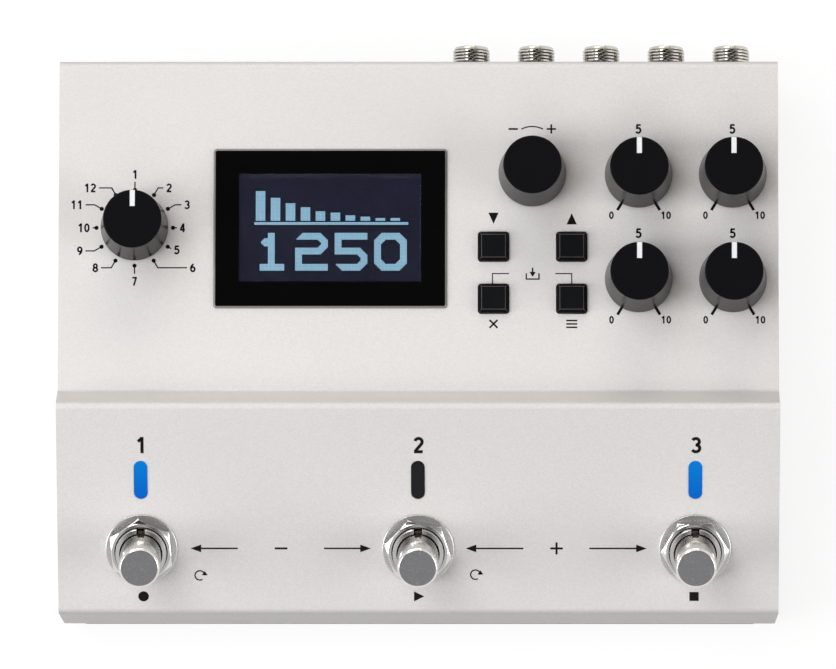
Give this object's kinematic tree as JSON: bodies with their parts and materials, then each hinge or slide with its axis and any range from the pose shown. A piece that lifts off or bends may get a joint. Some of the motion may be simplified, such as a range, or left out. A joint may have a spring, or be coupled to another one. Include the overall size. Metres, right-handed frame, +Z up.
{
  "type": "digital delay pedal",
  "caption": "Floor pedal with a flat panel of knobs, buttons and a display, a raised sloping panel of footswitches with indicators, and rear sockets for audio, data and power.",
  "frame": {"origin": "on the floor, under the middle of the pedal's overall box", "axes": "+X to the player's right, +Y from the player to the rear sockets, +Z up"},
  "size_m": [0.17, 0.138, 0.062],
  "materials": {
    "case_paint": "satin pearl",
    "cover_paint": "matte",
    "foot_rubber": "matte",
    "screw_steel": "zinc plated",
    "window_plastic": "polished",
    "display_glass": "backlit",
    "frame_steel": "tin plated",
    "knob_plastic": "matte top, glossy skirt",
    "shaft_metal": "turned",
    "control_metal": "tin plated",
    "key_plastic": "satin",
    "socket_plastic": "moulded",
    "jack_nickel": "nickel plated",
    "switch_nickel": "nickel plated",
    "chrome": "polished",
    "plunger_metal": "brushed",
    "lamp_lit": "diffused, lit",
    "lamp_dark": "diffused, unlit",
    "board_laminate": "solder mask",
    "chip_white": "moulded",
    "cable_grey": "extruded"
  },
  "bodies": {
    "chassis": {"top_case": "case_paint", "bottom_cover": "cover_paint", "rubber_feet": "foot_rubber", "cover_screws": "screw_steel", "board_screws": "screw_steel", "board_spacers": "screw_steel", "left_spring": "screw_steel", "middle_spring": "screw_steel", "right_spring": "screw_steel", "display_window": "window_plastic", "display_glass": "display_glass", "display_frame": "frame_steel", "usb_port": "frame_steel", "value_encoder": "control_metal", "potentiometers": "control_metal", "mode_switch": "socket_plastic", "push_switches": "socket_plastic", "midi_sockets": "socket_plastic", "power_inlet": "socket_plastic", "power_switch": "socket_plastic", "main_board_parts": "socket_plastic", "input_jack_a": "jack_nickel", "input_jack_b": "jack_nickel", "output_jack_a": "jack_nickel", "output_jack_b": "jack_nickel", "control_jack": "jack_nickel", "left_footswitch": "switch_nickel", "middle_footswitch": "switch_nickel", "right_footswitch": "switch_nickel", "footswitch_washers": "switch_nickel", "footswitch_nuts": "chrome", "jack_nuts": "chrome", "left_indicator": "lamp_lit", "right_indicator": "lamp_lit", "middle_indicator": "lamp_dark", "main_board": "board_laminate", "panel_board": "board_laminate", "indicator_board": "board_laminate", "indicator_chips": "chip_white", "ribbon_cable": "cable_grey"},
    "mode_control": {"mode_knob": "knob_plastic", "mode_shaft": "shaft_metal"},
    "value_control": {"value_knob": "knob_plastic", "value_shaft": "shaft_metal"},
    "feedback_control": {"feedback_knob": "knob_plastic", "feedback_shaft": "shaft_metal"},
    "level_control": {"level_knob": "knob_plastic", "level_shaft": "shaft_metal"},
    "tone_control": {"tone_knob": "knob_plastic", "tone_shaft": "shaft_metal"},
    "depth_control": {"depth_knob": "knob_plastic", "depth_shaft": "shaft_metal"},
    "down_key": {"down_button": "key_plastic"},
    "up_key": {"up_button": "key_plastic"},
    "exit_key": {"exit_button": "key_plastic"},
    "edit_key": {"edit_button": "key_plastic"},
    "left_pedal": {"left_plunger": "plunger_metal"},
    "middle_pedal": {"middle_plunger": "plunger_metal"},
    "right_pedal": {"right_plunger": "plunger_metal"},
    "power_key": {"power_button": "key_plastic"}
  },
  "joints": [
    {"name": "mode_turn", "type": "hinge", "parent": "chassis", "child": "mode_control", "pos_m": [-0.067, 0.0213, 0.05], "axis": [0, 0, 1], "continuous": true},
    {"name": "value_turn", "type": "hinge", "parent": "chassis", "child": "value_control", "pos_m": [0.0269, 0.03415, 0.05], "axis": [0, 0, 1], "continuous": true},
    {"name": "feedback_turn", "type": "hinge", "parent": "chassis", "child": "feedback_control", "pos_m": [0.052, 0.03385, 0.05], "axis": [0, 0, 1], "range_deg": [-150, 150]},
    {"name": "level_turn", "type": "hinge", "parent": "chassis", "child": "level_control", "pos_m": [0.0742, 0.03385, 0.05], "axis": [0, 0, 1], "range_deg": [-150, 150]},
    {"name": "tone_turn", "type": "hinge", "parent": "chassis", "child": "tone_control", "pos_m": [0.052, 0.00895, 0.05], "axis": [0, 0, 1], "range_deg": [-150, 150]},
    {"name": "depth_turn", "type": "hinge", "parent": "chassis", "child": "depth_control", "pos_m": [0.0742, 0.00895, 0.05], "axis": [0, 0, 1], "range_deg": [-150, 150]},
    {"name": "down_press", "type": "slide", "parent": "chassis", "child": "down_key", "axis": [0, 0, -1], "range_m": [0, 0.0005], "stiffness_N_per_m": 1500},
    {"name": "up_press", "type": "slide", "parent": "chassis", "child": "up_key", "axis": [0, 0, -1], "range_m": [0, 0.0005], "stiffness_N_per_m": 1500},
    {"name": "exit_press", "type": "slide", "parent": "chassis", "child": "exit_key", "axis": [0, 0, -1], "range_m": [0, 0.0005], "stiffness_N_per_m": 1500},
    {"name": "edit_press", "type": "slide", "parent": "chassis", "child": "edit_key", "axis": [0, 0, -1], "range_m": [0, 0.0005], "stiffness_N_per_m": 1500},
    {"name": "left_step", "type": "slide", "parent": "chassis", "child": "left_pedal", "axis": [0, 0.409, -0.9125], "range_m": [0, 0.002], "stiffness_N_per_m": 4000, "deforming": ["left_spring"]},
    {"name": "middle_step", "type": "slide", "parent": "chassis", "child": "middle_pedal", "axis": [0, 0.409, -0.9125], "range_m": [0, 0.002], "stiffness_N_per_m": 4000, "deforming": ["middle_spring"]},
    {"name": "right_step", "type": "slide", "parent": "chassis", "child": "right_pedal", "axis": [0, 0.409, -0.9125], "range_m": [0, 0.002], "stiffness_N_per_m": 4000, "deforming": ["right_spring"]},
    {"name": "power_press", "type": "slide", "parent": "chassis", "child": "power_key", "axis": [0, -1, 0], "range_m": [0, 0.0025], "stiffness_N_per_m": 1200}
  ]
}
